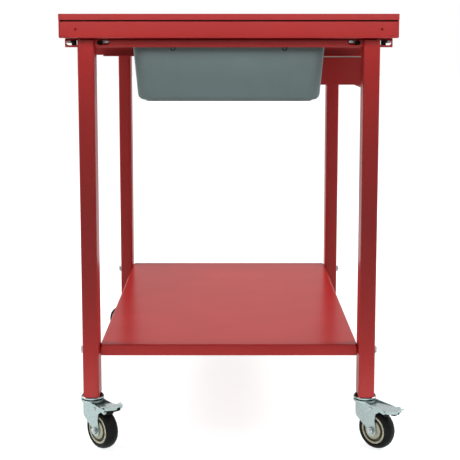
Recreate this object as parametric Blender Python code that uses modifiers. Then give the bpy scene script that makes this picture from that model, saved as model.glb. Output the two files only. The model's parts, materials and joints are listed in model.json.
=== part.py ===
"""Mobile teardown table: a folded steel drain worktop on four tube legs, with a lower shelf,
a slide-out plastic drain tub, a side drawer and four swivel casters.

Metres, +Z up. The origin is on the floor under the middle of the table. +Y runs along the
length, away from the end that faces the viewer, and +X points to the drawer side.
"""
import math

import bmesh
import bpy
from mathutils import Matrix, Vector

# Overall sizes
TABLE_WIDTH = 0.640
TABLE_LENGTH = 0.949
TABLE_HEIGHT = 0.865

# Sheet metal and fits
SHEET = 0.0025
BEND = 0.003
SEAT = 0.0003
FLAT_STEPS = 3

# Worktop tray
RIM_WIDTH = 0.020
BASIN_DEPTH = 0.011
BASIN_DRAFT = 0.002
FLOOR_FALL = 0.012
SIDE_FLANGE = 0.0455
SIDE_RETURN = 0.015
END_LIP = 0.0114
DRAIN_BORE = 0.030
DRAIN_FLAT = 0.054
SPOUT_WALL = 0.004
SPOUT_FLANGE = 0.007
SPOUT_LENGTH = 0.016

# End aprons
APRON_GAP = 0.003
APRON_RETURN = 0.018
APRON_HOLE = 0.004
APRON_HOLE_INSET = 0.032
APRON_HOLE_RISE = 0.0165

# Legs
LEG_WIDTH = 0.032
LEG_DEPTH = 0.050
LEG_WALL = 0.002
LEG_CORNER = 0.004
LEG_SIDE_INSET = 0.028
LEG_END_INSET = 0.050
PLUG_HEIGHT = 0.040
CAP_DIAMETER = 0.042
CAP_THICKNESS = 0.0012

# Leg rails under the worktop
RAIL_SETBACK = 0.064
RAIL_HEIGHT = 0.0174
RAIL_TOP_FLANGE = 0.040
FAR_LEDGE = 0.038
SLOT_LENGTH = 0.024
SLOT_HEIGHT = 0.0095
RAIL_BOLT_INSET = 0.022
RAIL_BOLT_OFFSET = 0.038

# Cross stiffeners that the inner rail bolts pull up against
STIFFENER_WIDTH = 0.030
STIFFENER_HEIGHT = 0.018

# Holes for the frame bolts
BOLT = 0.008
BOLT_CLEARANCE = 0.0006
HOLE_STEPS = 10

# Lower shelf
SHELF_TOP = 0.208
SHELF_LIP = 0.0225
SHELF_RETURN = 0.012
SHELF_END_INSET = 0.070
SHELF_BOLT_DROP = 0.013
SHELF_BOLT_INSET = 0.012
SHELF_RELIEF = 0.0035
SHELF_RELIEF_LENGTH = 0.012

# Drawer bay
DRAWER_RAIL_AT = 0.445
DRAWER_RAIL_DROP = 0.0415
DRAWER_RAIL_FLANGE = 0.024
DRAWER_RAIL_FOOT = 0.014
DRAWER_RAIL_BEND = 0.0015
DRAWER_RAIL_FOOT_SETBACK = 0.035
FAR_RAIL_CLEARANCE = 0.0085
SLIDE_SPACE = 0.013
SLIDE_HEIGHT = 0.035
SLIDE_DROP = 0.0029
SLIDE_LENGTH = 0.400
SLIDE_SHEET = 0.0015
SLIDE_RUN = 0.0004
DRAWER_SHEET = 0.0015
DRAWER_DEPTH = 0.437
DRAWER_HEIGHT = 0.092
DRAWER_DROP = 0.066
DRAWER_HEM = 0.008
FRONT_RETURN = 0.012
FRONT_CLEARANCE = 0.0025
FRONT_TOP_GAP = 0.005
FRONT_SKIRT = 0.012

# Drain tub
TUB_WIDTH = 0.386
TUB_TAPER = 0.0095
TUB_DEPTH = 0.120
TUB_WALL = 0.0026
TUB_CORNER = 0.026
TUB_FLOOR_CORNER = 0.010
TUB_RIM = 0.015
TUB_RIM_LIP = 0.0085
TUB_CLEARANCE = 0.003
RUNNER_LEG = 0.012
TUB_FOOT_INSET = 0.003
TUB_FOOT_HEIGHT = 0.0025

# Casters
CASTER_HEIGHT = 0.104
WHEEL_DIAMETER = 0.080
WHEEL_WIDTH = 0.028
TYRE_THICKNESS = 0.0115
TYRE_CROWN = 0.0075
TREAD_FLAT = 0.006
HUB_BOSS = 0.038
HUB_CROWN = 0.0005
HUB_EDGE = 0.0008
HUB_RIM_DROP = 0.001
HUB_GROOVE = 0.0048
HUB_GROOVE_DEPTH = 0.007
CASTER_TRAIL = 0.032
RACE_DIAMETER = 0.0468
RACE_THICKNESS = 0.0040
BEARING_HEIGHT = 0.0022
STEM_DIAMETER = 0.012
STEM_LENGTH = 0.034
FORK_SHEET = 0.0026
FORK_INSIDE = 0.031
FORK_CORNER = 0.009
CROWN_THICKNESS = 0.004
FORK_TIP_RADIUS = 0.012
FORK_REAR = 0.0138
FORK_NECK = 0.019
FORK_SLOPE = 0.012
FORK_THROAT = 0.008
FORK_ELBOW = 0.076
AXLE_DIAMETER = 0.008
AXLE_FLATS = 0.013
AXLE_HEAD = 0.005
ROUND_STEPS = 18
WHEEL_STEPS = 24
HUB_STEPS = 20

# Brake of the two front casters
ARM_REACH = 0.062
ARM_DROP = 0.019
ARM_BOSS = 0.005
ARM_RIVET = 0.0035
PEDAL_PIVOT_X = 0.030
PEDAL_PIVOT_DROP = 0.0197
PEDAL_RISE = 0.0052
PEDAL_SHEET = 0.0022
PEDAL_TOE = 0.0692
PEDAL_TOE_WIDTH = 0.039
PEDAL_TOE_LENGTH = 0.005
PEDAL_SKIRT = 0.0045
PEDAL_TONGUE = 0.088
PEDAL_TONGUE_WIDTH = 0.011
PEDAL_TIP = 0.0935
PEDAL_TIP_WIDTH = 0.008
PEDAL_CURL = 0.0065
PEDAL_ROLL = 0.0026
PEDAL_THROW = math.radians(9.5)
PEDAL_LUG = 0.0039
PIN_DIAMETER = 0.004
PIN_HEAD = 0.0015
PIN_HEAD_DIAMETER = 0.008
SHOE_START = 0.046
SHOE_LENGTH = 0.012
SHOE_WIDTH = 0.016
SHOE_GAP = 0.0005
SHOE_WEB = 0.003
STOP_START = 0.072
STOP_LENGTH = 0.011
STOP_DEPTH = 0.0085

# Which way each caster trails, in degrees anticlockwise from +X, and if its brake is pressed
CASTERS = {
    "front_left": {"x": -1, "y": -1, "yaw": -47.5, "brake": True, "pressed": False},
    "front_right": {"x": 1, "y": -1, "yaw": -46.5, "brake": True, "pressed": True},
    "rear_left": {"x": -1, "y": 1, "yaw": 132.6, "brake": False, "pressed": False},
    "rear_right": {"x": 1, "y": 1, "yaw": 118.0, "brake": False, "pressed": False},
}

# Places worked out from the sizes above
SIDE = TABLE_WIDTH / 2
NEAR = -TABLE_LENGTH / 2
FAR = TABLE_LENGTH / 2
HALF_SHEET = SHEET / 2
INNER_SIDE = SIDE - SHEET - SEAT
FLANGE_BOTTOM = TABLE_HEIGHT - SIDE_FLANGE
RETURN_EDGE = SIDE - SIDE_RETURN
BASIN_FLOOR = TABLE_HEIGHT - BASIN_DEPTH
DRAIN_FLOOR = BASIN_FLOOR - FLOOR_FALL
RAIL_TOP = FLANGE_BOTTOM - SEAT
RAIL_BOTTOM = RAIL_TOP - RAIL_HEIGHT
LEDGE_TOP = RAIL_BOTTOM + SHEET
LEG_TOP = RAIL_TOP - SHEET - SEAT
LEG_X = SIDE - LEG_SIDE_INSET - LEG_WIDTH / 2
LEG_Y = FAR - LEG_END_INSET - LEG_DEPTH / 2
LEG_INNER_X = LEG_X - LEG_WIDTH / 2
LEG_REAR = LEG_END_INSET + LEG_DEPTH
TUB_NEAR_RIM = NEAR + LEG_REAR + TUB_CLEARANCE
DRAWER_WEB_NEAR = NEAR + DRAWER_RAIL_AT
RUNNER_BACK = DRAWER_WEB_NEAR - SEAT
TUB_FAR_RIM = RUNNER_BACK - SHEET - TUB_CLEARANCE
TUB_NEAR = TUB_NEAR_RIM + TUB_RIM
TUB_FAR = TUB_FAR_RIM - TUB_RIM
TUB_LIP_BOTTOM = LEDGE_TOP + SEAT
TUB_TOP = TUB_LIP_BOTTOM + TUB_RIM_LIP
TUB_BOTTOM = TUB_TOP - TUB_DEPTH
DRAIN_Y = (TUB_NEAR + TUB_FAR) / 2
NEAR_LEDGE = LEG_REAR + TUB_CLEARANCE + TUB_RIM - RAIL_SETBACK - TUB_CLEARANCE
RAIL_BOLT_Y = FAR - RAIL_SETBACK - RAIL_BOLT_INSET
RAIL_BOLTS_X = (SIDE - SIDE_RETURN / 2, LEG_X - RAIL_BOLT_OFFSET)
DRAWER_WEB_FAR = FAR - LEG_REAR - FAR_RAIL_CLEARANCE
BAY_NEAR = DRAWER_WEB_NEAR + SHEET
BAY_FAR = DRAWER_WEB_FAR - SHEET
DRAWER_RAIL_BOTTOM = RAIL_TOP - DRAWER_RAIL_DROP
SLIDE_BOTTOM = DRAWER_RAIL_BOTTOM - SLIDE_DROP
BOX_NEAR = BAY_NEAR + SLIDE_SPACE
BOX_FAR = BAY_FAR - SLIDE_SPACE
BOX_BOTTOM = DRAWER_RAIL_BOTTOM - DRAWER_DROP
BOX_FRONT = SIDE - SHEET - SEAT
BOX_REAR = BOX_FRONT - DRAWER_DEPTH
FRONT_TOP = FLANGE_BOTTOM - FRONT_TOP_GAP
FRONT_BOTTOM = BOX_BOTTOM - FRONT_SKIRT
SLIDE_FRONT = SIDE - FRONT_RETURN - 2 * FRONT_CLEARANCE
SLIDE_REAR = SLIDE_FRONT - SLIDE_LENGTH
SHELF_SIDE = LEG_INNER_X - SEAT
SHELF_END = FAR - SHELF_END_INSET
SHELF_BOLT_Y = SHELF_END - SHELF_BOLT_INSET
SHELF_BOLT_Z = SHELF_TOP - SHELF_BOLT_DROP
WHEEL_RADIUS = WHEEL_DIAMETER / 2
HUB_RADIUS = WHEEL_RADIUS - TYRE_THICKNESS
CAP_TOP = CASTER_HEIGHT - SEAT
RACE_TOP = CAP_TOP - CAP_THICKNESS - SEAT
RACE_BOTTOM = RACE_TOP - RACE_THICKNESS
BEARING_BOTTOM = RACE_BOTTOM - SEAT - BEARING_HEIGHT
CROWN_TOP = BEARING_BOTTOM - SEAT
FORK_TOP = CROWN_TOP - CROWN_THICKNESS / 2
PEDAL_PIVOT_Z = CASTER_HEIGHT - PEDAL_PIVOT_DROP
PLATE_SIDE = FORK_INSIDE / 2 + FORK_SHEET / 2
ARM_Z = CASTER_HEIGHT - ARM_DROP
CORNERS = ((-1, -1), (1, -1), (-1, 1), (1, 1))

# Scene and finishes

for old in list(bpy.data.objects):
    bpy.data.objects.remove(old, do_unlink=True)

PARTS = bpy.data.collections.new("teardown_table")
CUTTERS = bpy.data.collections.new("cutters")
bpy.context.scene.collection.children.link(PARTS)
bpy.context.scene.collection.children.link(CUTTERS)


def linear(channel):
    """One sRGB channel from 0 to 255 as a linear value."""
    value = channel / 255
    if value <= 0.04045:
        return value / 12.92
    return ((value + 0.055) / 1.055) ** 2.4


def finish(name, colour, roughness, metallic):
    """A Principled material of an sRGB colour."""
    material = bpy.data.materials.new(name)
    material.use_nodes = True
    shader = material.node_tree.nodes["Principled BSDF"]
    shader.inputs["Base Color"].default_value = (*[linear(c) for c in colour], 1.0)
    shader.inputs["Roughness"].default_value = roughness
    shader.inputs["Metallic"].default_value = metallic
    return material


RED_PAINT = finish("red_powder_coat", (178, 50, 48), 0.38, 0.0)
GREY_PLASTIC = finish("grey_plastic", (107, 121, 121), 0.45, 0.0)
ZINC = finish("zinc_plate", (190, 203, 203), 0.35, 1.0)
SLIDE_STEEL = finish("slide_steel", (150, 146, 138), 0.4, 1.0)
BRIGHT_STEEL = finish("bright_steel", (200, 205, 205), 0.28, 1.0)
BLACK_RUBBER = finish("black_rubber", (30, 32, 30), 0.5, 0.0)
BLACK_PLASTIC = finish("black_plastic", (24, 24, 24), 0.55, 0.0)
TAN_PLASTIC = finish("tan_plastic", (176, 174, 152), 0.5, 0.0)


# Modelling helpers

def add_object(name, mesh, material, parent=None):
    """A visible piece of the table."""
    piece = bpy.data.objects.new(name, mesh)
    PARTS.objects.link(piece)
    if material is not None:
        mesh.materials.clear()
        mesh.materials.append(material)
    piece.parent = parent
    return piece


def add_cutter(name, mesh, parent=None):
    """A hidden solid that a Boolean joins to a piece or takes from it."""
    cutter = bpy.data.objects.new(name, mesh)
    CUTTERS.objects.link(cutter)
    cutter.hide_render = True
    cutter.display_type = "WIRE"
    cutter.parent = parent
    return cutter


def cut(piece, name, *shapes, parent=None):
    """Takes one or more bmeshes from a piece."""
    boolean(piece, add_cutter(name, mesh_from(merged(*shapes), name), parent))


def boolean(piece, cutter, operation="DIFFERENCE"):
    """Cuts a piece with a hidden solid, or joins the two."""
    modifier = piece.modifiers.new(cutter.name, "BOOLEAN")
    modifier.operation = operation
    modifier.solver = "EXACT"
    modifier.object = cutter


def mesh_from(bm, name):
    """Turns a bmesh into a mesh and frees it."""
    mesh = bpy.data.meshes.new(name)
    bm.to_mesh(mesh)
    bm.free()
    return mesh


def evaluated_mesh(piece):
    """The mesh of an object with its modifiers, in the object's own space."""
    graph = bpy.context.evaluated_depsgraph_get()
    return bpy.data.meshes.new_from_object(piece.evaluated_get(graph))


def round_shading(mesh, angle=40):
    """Smooth shading with sharp folds."""
    mesh.shade_smooth()
    mesh.set_sharp_from_angle(angle=math.radians(angle))


def box(low, high):
    """A box between two corners, as a bmesh."""
    low = Vector(low)
    high = Vector(high)
    bm = bmesh.new()
    size = high - low
    place = Matrix.Translation((low + high) / 2) @ Matrix.Diagonal((*size, 1))
    bmesh.ops.create_cube(bm, size=1, matrix=place)
    return bm


def rod(radius, start, end, steps=12):
    """A round bar between two points, as a bmesh."""
    start = Vector(start)
    end = Vector(end)
    run = end - start
    turn = run.to_track_quat("Z", "Y").to_matrix().to_4x4()
    place = Matrix.Translation((start + end) / 2) @ turn
    bm = bmesh.new()
    bmesh.ops.create_cone(
        bm,
        cap_ends=True,
        segments=steps,
        radius1=radius,
        radius2=radius,
        depth=run.length,
        matrix=place,
    )
    return bm


def bolt_hole(place, along):
    """A cutter for a bolt hole through sheet at a place, along a direction."""
    middle = Vector(place)
    reach = Vector(along) * (SHEET + BEND)
    return rod(BOLT / 2 + BOLT_CLEARANCE, middle - reach, middle + reach, HOLE_STEPS)


def merged(*shapes):
    """Several bmeshes in one mesh, as separate bodies."""
    whole = bmesh.new()
    for shape in shapes:
        mesh = mesh_from(shape, "part")
        whole.from_mesh(mesh)
        bpy.data.meshes.remove(mesh)
    return whole


def rounded_path(points, radius, steps=FLAT_STEPS):
    """An open path of 2D points with its corners rounded by arcs."""
    path = [Vector(points[0])]
    for before, corner, after in zip(points, points[1:], points[2:]):
        path += corner_arc(Vector(before), Vector(corner), Vector(after), radius, steps)
    path.append(Vector(points[-1]))
    return path


def rounded_loop(points, radius, steps=FLAT_STEPS):
    """A closed 2D outline with its corners rounded by arcs."""
    count = len(points)
    loop = []
    for i in range(count):
        before = Vector(points[i - 1])
        corner = Vector(points[i])
        after = Vector(points[(i + 1) % count])
        loop += corner_arc(before, corner, after, radius, steps)
    return loop


def arc(centre, radius, start, end, steps):
    """Points of an arc between two angles in degrees."""
    points = []
    for i in range(steps + 1):
        angle = math.radians(start + (end - start) * i / steps)
        points.append((centre[0] + radius * math.cos(angle), centre[1] + radius * math.sin(angle)))
    return points


def corner_arc(before, corner, after, radius, steps):
    """Points of an arc that rounds one corner, tangent to both of its edges."""
    to_before = (before - corner).normalized()
    to_after = (after - corner).normalized()
    half = to_before.angle(to_after) / 2
    limit = 0.49 * min((before - corner).length, (after - corner).length)
    reach = min(radius / math.tan(half), limit)
    radius = reach * math.tan(half)
    centre = corner + (to_before + to_after).normalized() * (radius / math.sin(half))
    start = corner + to_before * reach - centre
    sweep = start.angle_signed(corner + to_after * reach - centre)
    points = []
    for i in range(steps + 1):
        turn = Matrix.Rotation(-sweep * i / steps, 2)
        points.append(centre + turn @ start)
    return points


def rectangle(half_x, half_y):
    """Corners of a centred rectangle."""
    return [(-half_x, -half_y), (half_x, -half_y), (half_x, half_y), (-half_x, half_y)]


def circle(radius, steps):
    """Points of a circle round the origin."""
    return arc((0, 0), radius, 0, 360, steps)[:-1]


def flat_solid(name, loops, thickness):
    """A flat outline with holes, from a filled 2D curve, as a mesh centred on its plane."""
    curve = bpy.data.curves.new(name, "CURVE")
    curve.dimensions = "2D"
    curve.fill_mode = "BOTH"
    curve.extrude = thickness / 2
    for loop in loops:
        spline = curve.splines.new("POLY")
        spline.points.add(len(loop) - 1)
        for point, place in zip(spline.points, loop):
            point.co = (place[0], place[1], 0, 1)
        spline.use_cyclic_u = True
    guide = bpy.data.objects.new(name, curve)
    CUTTERS.objects.link(guide)
    mesh = evaluated_mesh(guide)
    bpy.data.objects.remove(guide, do_unlink=True)
    bm = bmesh.new()
    bm.from_mesh(mesh)
    bmesh.ops.remove_doubles(bm, verts=bm.verts, dist=0.00001)
    bmesh.ops.recalc_face_normals(bm, faces=bm.faces)
    bm.to_mesh(mesh)
    bm.free()
    return mesh


def upright(mesh):
    """Stands a flat solid up: its outline's second direction becomes +Z and its front looks at -Y."""
    mesh.transform(Matrix.Rotation(math.pi / 2, 4, "X"))
    return mesh


def solidify(piece, thickness):
    """Gives a surface its sheet thickness, half to each side."""
    modifier = piece.modifiers.new("sheet", "SOLIDIFY")
    modifier.thickness = thickness
    modifier.offset = 0
    modifier.solidify_mode = "NON_MANIFOLD"
    modifier.nonmanifold_thickness_mode = "CONSTRAINTS"
    modifier.nonmanifold_merge_threshold = 0


def folded(name, points, start, end, along, material, thickness=SHEET, bend=BEND):
    """A folded sheet: a path of its middle surface drawn across, pulled along X or Z.

    The path's points are (Y, Z) for a sheet along X and (X, Y) for one along Z.
    """
    bm = bmesh.new()
    row = []
    for first, second in rounded_path(points, bend):
        place = (start, first, second) if along == "X" else (first, second, start)
        row.append(bm.verts.new(place))
    edges = [bm.edges.new(pair) for pair in zip(row, row[1:])]
    grown = bmesh.ops.extrude_edge_only(bm, edges=edges)["geom"]
    moved = [item for item in grown if isinstance(item, bmesh.types.BMVert)]
    run = end - start
    shift = (run, 0, 0) if along == "X" else (0, 0, run)
    bmesh.ops.translate(bm, verts=moved, vec=shift)
    bmesh.ops.recalc_face_normals(bm, faces=bm.faces)
    mesh = mesh_from(bm, name)
    round_shading(mesh)
    piece = add_object(name, mesh, material)
    solidify(piece, thickness)
    return piece


def turned(name, profile, steps, material, closed, parent=None, axis_y=False):
    """A turned solid: a profile of (radius, height) points swept round its axis."""
    mesh = bpy.data.meshes.new(name)
    points = [(radius, 0, height) for radius, height in profile]
    edges = [(i, i + 1) for i in range(len(points) - 1)]
    if closed:
        edges.append((len(points) - 1, 0))
    mesh.from_pydata(points, edges, [])
    piece = add_object(name, mesh, material, parent)
    screw = piece.modifiers.new("turn", "SCREW")
    screw.axis = "Z"
    screw.steps = steps
    screw.render_steps = steps
    screw.use_merge_vertices = True
    screw.merge_threshold = 0.00001
    screw.use_smooth_shade = False
    solid = evaluated_mesh(piece)
    solid.name = name
    if axis_y:
        solid.transform(Matrix.Rotation(math.pi / 2, 4, "X"))
    round_shading(solid, 35)
    piece.modifiers.clear()
    piece.data = solid
    solid.materials.clear()
    solid.materials.append(material)
    return piece


def extruded_edges(bm, edges, shift):
    """Pulls edges of a surface out by a vector and returns the new edges."""
    grown = bmesh.ops.extrude_edge_only(bm, edges=edges)["geom"]
    moved = [item for item in grown if isinstance(item, bmesh.types.BMVert)]
    bmesh.ops.translate(bm, verts=moved, vec=shift)
    fresh = set(moved)
    return [e for e in grown if isinstance(e, bmesh.types.BMEdge) and set(e.verts) <= fresh]


def bend_folds(bm, radius):
    """Rounds the sharp folds of a surface."""
    folds = [e for e in bm.edges if len(e.link_faces) == 2 and e.calc_face_angle() > math.radians(60)]
    bmesh.ops.bevel(bm, geom=folds, offset=radius, segments=2, profile=0.5, affect="EDGES")


def split_at(bm, axis, places):
    """Cuts a surface with planes square to an axis."""
    normal = Vector((0, 0, 0))
    normal[axis] = 1
    for place in places:
        point = Vector((0, 0, 0))
        point[axis] = place
        geometry = [*bm.verts, *bm.edges, *bm.faces]
        bmesh.ops.bisect_plane(bm, geom=geometry, plane_co=point, plane_no=normal, dist=0.000001)


def hexagon(flats):
    """Points of a hexagon of a width across its flats."""
    return circle(flats / math.sqrt(3), 6)


# Worktop

def make_worktop():
    """The drain worktop: a flat rim, a basin that falls to the drain, and folded edges."""
    bm = bmesh.new()
    outer_x = SIDE - HALF_SHEET
    outer_y = FAR - HALF_SHEET
    top = TABLE_HEIGHT - HALF_SHEET
    place = Matrix.Translation((0, 0, top)) @ Matrix.Diagonal((outer_x, outer_y, 1, 1))
    bmesh.ops.create_grid(bm, x_segments=1, y_segments=1, size=1, matrix=place)
    floor = list(bm.faces)
    for inset, drop in ((RIM_WIDTH - HALF_SHEET, 0), (BASIN_DRAFT, BASIN_DEPTH), (RIM_WIDTH, 0)):
        bmesh.ops.inset_individual(bm, faces=floor, thickness=inset, depth=-drop, use_even_offset=True)
    for vert in floor[0].verts:
        side_x = math.copysign(DRAIN_FLAT / 2, vert.co.x)
        side_y = math.copysign(DRAIN_FLAT / 2, vert.co.y)
        vert.co = (side_x, DRAIN_Y + side_y, DRAIN_FLOOR - HALF_SHEET)
    border = [e for e in bm.edges if e.is_boundary]
    extruded_edges(bm, border, (0, 0, HALF_SHEET - END_LIP))
    flange_end = FAR - BEND
    return_end = FAR - APRON_RETURN - SHEET
    for end in (flange_end, return_end):
        split_at(bm, 1, (-end, end))
    lips = [e for e in bm.edges if e.is_boundary and along_side(e, outer_x, flange_end)]
    lower = extruded_edges(bm, lips, (0, 0, END_LIP + HALF_SHEET - SIDE_FLANGE))
    for sign in (-1, 1):
        flange = [e for e in lower if along_side(e, outer_x, return_end) and e.verts[0].co.x * sign > 0]
        extruded_edges(bm, flange, (sign * (HALF_SHEET - SIDE_RETURN), 0, 0))
    bmesh.ops.recalc_face_normals(bm, faces=bm.faces)
    piece = add_object("worktop_tray", mesh_from(bm, "worktop_tray"), RED_PAINT)
    solidify(piece, SHEET)
    low = (0, DRAIN_Y, DRAIN_FLOOR - 2 * SHEET)
    high = (0, DRAIN_Y, DRAIN_FLOOR + SHEET)
    cut(piece, "drain_hole", rod(DRAIN_BORE / 2, low, high, ROUND_STEPS))
    return_holes = []
    for x, y in CORNERS:
        place = (x * RAIL_BOLTS_X[0], y * RAIL_BOLT_Y, FLANGE_BOTTOM)
        return_holes.append(bolt_hole(place, (0, 0, 1)))
    cut(piece, "worktop_bolt_holes", *return_holes)


def along_side(edge, x, limit):
    """If an edge runs along a long side of the worktop, within a distance of the middle."""
    for vert in edge.verts:
        if abs(abs(vert.co.x) - x) > SEAT or abs(vert.co.y) > limit + SEAT:
            return False
    return abs(edge.verts[0].co.y - edge.verts[1].co.y) > SEAT


def make_drain_spout():
    """The outlet under the drain hole: a welded flange and a short pipe."""
    top = DRAIN_FLOOR - SHEET - SEAT
    bore = DRAIN_BORE / 2
    pipe = bore + SPOUT_WALL
    profile = [
        (bore, top),
        (pipe + SPOUT_FLANGE, top),
        (pipe + SPOUT_FLANGE, top - SHEET),
        (pipe, top - SHEET),
        (pipe, top - SPOUT_LENGTH),
        (bore, top - SPOUT_LENGTH),
    ]
    spout = turned("drain_spout", profile, ROUND_STEPS, RED_PAINT, True)
    spout.location = (0, DRAIN_Y, 0)


def make_end_apron(name, end):
    """A folded apron that closes one short end under the lip of the worktop."""
    face = end * (FAR - HALF_SHEET)
    top = TABLE_HEIGHT - END_LIP - APRON_GAP
    bottom = FLANGE_BOTTOM + HALF_SHEET
    points = [
        (face, top),
        (face, bottom),
        (face - end * (APRON_RETURN - HALF_SHEET), bottom),
    ]
    apron = folded(name, points, -INNER_SIDE, INNER_SIDE, "X", RED_PAINT)
    hole_x = SIDE - APRON_HOLE_INSET
    hole_z = FLANGE_BOTTOM + APRON_HOLE_RISE
    holes = [
        rod(APRON_HOLE / 2, (x, face - 2 * SHEET, hole_z), (x, face + 2 * SHEET, hole_z), HOLE_STEPS)
        for x in (-hole_x, hole_x)
    ]
    cut(apron, name + "_holes", *holes)


# Legs and the rails that join them to the worktop

def make_leg_rail(name, end, ledge):
    """A channel across one end: its top flange takes the legs and its ledge carries the tub."""
    web = end * (FAR - RAIL_SETBACK - HALF_SHEET)
    top = RAIL_TOP - HALF_SHEET
    bottom = RAIL_BOTTOM + HALF_SHEET
    points = [
        (web - end * (ledge - HALF_SHEET), bottom),
        (web, bottom),
        (web, top),
        (web - end * (RAIL_TOP_FLANGE - HALF_SHEET), top),
    ]
    rail = folded(name, points, -INNER_SIDE, INNER_SIDE, "X", RED_PAINT)
    outer = end * FAR
    inner = end * (LEG_Y - LEG_DEPTH / 2 - SEAT)
    notches = [
        box(
            (side * LEG_X - LEG_WIDTH / 2 - SEAT, min(outer, inner), RAIL_BOTTOM - SHEET),
            (side * LEG_X + LEG_WIDTH / 2 + SEAT, max(outer, inner), LEG_TOP + SEAT / 2),
        )
        for side in (-1, 1)
    ]
    cut(rail, name + "_notches", *notches)
    loop = rounded_loop(rectangle(SLOT_LENGTH / 2, SLOT_HEIGHT / 2), SLOT_HEIGHT / 2)
    slots = []
    bolt_holes = []
    slot_z = RAIL_TOP - SHEET - HALF_SHEET - SLOT_HEIGHT / 2
    slot_edges = (INNER_SIDE - SHEET, LEG_INNER_X - 2 * SHEET)
    for side in (-1, 1):
        for edge in slot_edges:
            slot = upright(flat_solid("slot", [loop], 3 * SHEET))
            slot.transform(Matrix.Translation((side * (edge - SLOT_LENGTH / 2), web, slot_z)))
            shape = bmesh.new()
            shape.from_mesh(slot)
            slots.append(shape)
        for x in RAIL_BOLTS_X:
            bolt_holes.append(bolt_hole((side * x, end * RAIL_BOLT_Y, top), (0, 0, 1)))
    cut(rail, name + "_slots", *slots)
    cut(rail, name + "_bolt_holes", *bolt_holes)


def make_stiffener(name, end):
    """An angle across the underside of the worktop that takes the inner rail bolts."""
    seat = FLANGE_BOTTOM + HALF_SHEET
    middle = end * RAIL_BOLT_Y
    points = [
        (middle + end * STIFFENER_WIDTH / 2, seat),
        (middle - end * STIFFENER_WIDTH / 2, seat),
        (middle - end * STIFFENER_WIDTH / 2, seat + STIFFENER_HEIGHT),
    ]
    reach = RETURN_EDGE - SEAT
    stiffener = folded(name, points, -reach, reach, "X", RED_PAINT)
    holes = [bolt_hole((side * RAIL_BOLTS_X[1], middle, seat), (0, 0, 1)) for side in (-1, 1)]
    cut(stiffener, name + "_holes", *holes)


def make_leg(name, side, end):
    """A rectangular steel tube with holes for the shelf bolt."""
    outside = rounded_loop(rectangle(LEG_WIDTH / 2, LEG_DEPTH / 2), LEG_CORNER)
    bore = rectangle(LEG_WIDTH / 2 - LEG_WALL, LEG_DEPTH / 2 - LEG_WALL)
    inside = rounded_loop(bore, LEG_CORNER - LEG_WALL)
    height = LEG_TOP - CASTER_HEIGHT
    mesh = flat_solid(name, [outside, inside], height)
    round_shading(mesh)
    leg = add_object(name, mesh, RED_PAINT)
    leg.location = (side * LEG_X, end * LEG_Y, CASTER_HEIGHT + height / 2)
    start = (side * (LEG_X - LEG_WIDTH), end * SHELF_BOLT_Y, SHELF_BOLT_Z)
    stop = (side * (LEG_X + LEG_WIDTH), end * SHELF_BOLT_Y, SHELF_BOLT_Z)
    cut(leg, name + "_bolt_hole", rod(BOLT / 2 + BOLT_CLEARANCE, start, stop, HOLE_STEPS))


def make_leg_plug(name, side, end):
    """The threaded insert in the foot of a leg, with a round cap between the leg and the caster."""
    room = LEG_WALL + SEAT
    loop = rounded_loop(rectangle(LEG_WIDTH / 2 - room, LEG_DEPTH / 2 - room), LEG_CORNER - LEG_WALL)
    bore = circle(STEM_DIAMETER / 2 + SEAT, ROUND_STEPS)
    neck = PLUG_HEIGHT + SEAT + CAP_THICKNESS / 2
    plug = add_object(name, flat_solid(name, [loop, bore], neck), BLACK_PLASTIC)
    plug.location = (side * LEG_X, end * LEG_Y, CASTER_HEIGHT + PLUG_HEIGHT - neck / 2)
    cap = flat_solid("cap", [circle(CAP_DIAMETER / 2, ROUND_STEPS), bore], CAP_THICKNESS)
    cap.transform(Matrix.Translation((0, 0, -neck / 2)))
    boolean(plug, add_cutter(name + "_cap", cap, plug), "UNION")


# Lower shelf

def make_shelf():
    """The lower shelf: a plain panel with all four edges folded down, and returns on its long edges."""
    bm = bmesh.new()
    half_x = SHELF_SIDE - HALF_SHEET
    half_y = SHELF_END - HALF_SHEET
    top = SHELF_TOP - HALF_SHEET
    place = Matrix.Translation((0, 0, top)) @ Matrix.Diagonal((half_x, half_y, 1, 1))
    bmesh.ops.create_grid(bm, x_segments=1, y_segments=1, size=1, matrix=place)
    border = [e for e in bm.edges if e.is_boundary]
    lips = extruded_edges(bm, border, (0, 0, SHEET - SHELF_LIP))
    for sign in (-1, 1):
        edge = [e for e in lips if all(v.co.x * sign > half_x - SEAT for v in e.verts)]
        lower = extruded_edges(bm, edge, (-sign * SHELF_RETURN, 0, 0))
        trim_return(bm, lower)
    bmesh.ops.recalc_face_normals(bm, faces=bm.faces)
    bend_folds(bm, BEND)
    shelf = add_object("lower_shelf", mesh_from(bm, "lower_shelf"), RED_PAINT)
    solidify(shelf, SHEET)
    holes = [bolt_hole((x * SHELF_SIDE, y * SHELF_BOLT_Y, SHELF_BOLT_Z), (1, 0, 0)) for x, y in CORNERS]
    cut(shelf, "shelf_holes", *holes)
    reliefs = []
    for x, y in CORNERS:
        inner = (x * (SHELF_SIDE - SHELF_RELIEF), y * (SHELF_END - SHELF_RELIEF_LENGTH), SHELF_TOP - 2 * BEND)
        outer = (x * (SHELF_SIDE + SHEET), y * (SHELF_END + SHEET), SHELF_TOP + SHEET)
        low = [min(pair) for pair in zip(inner, outer)]
        high = [max(pair) for pair in zip(inner, outer)]
        reliefs.append(box(low, high))
    cut(shelf, "shelf_reliefs", *reliefs)


def trim_return(bm, edges):
    """Mitres the ends of a folded return, so that it clears the end lips."""
    for edge in edges:
        for vert in edge.verts:
            vert.co.y -= math.copysign(SHELF_RETURN, vert.co.y)


# Drawer, its rails and its slides

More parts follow.
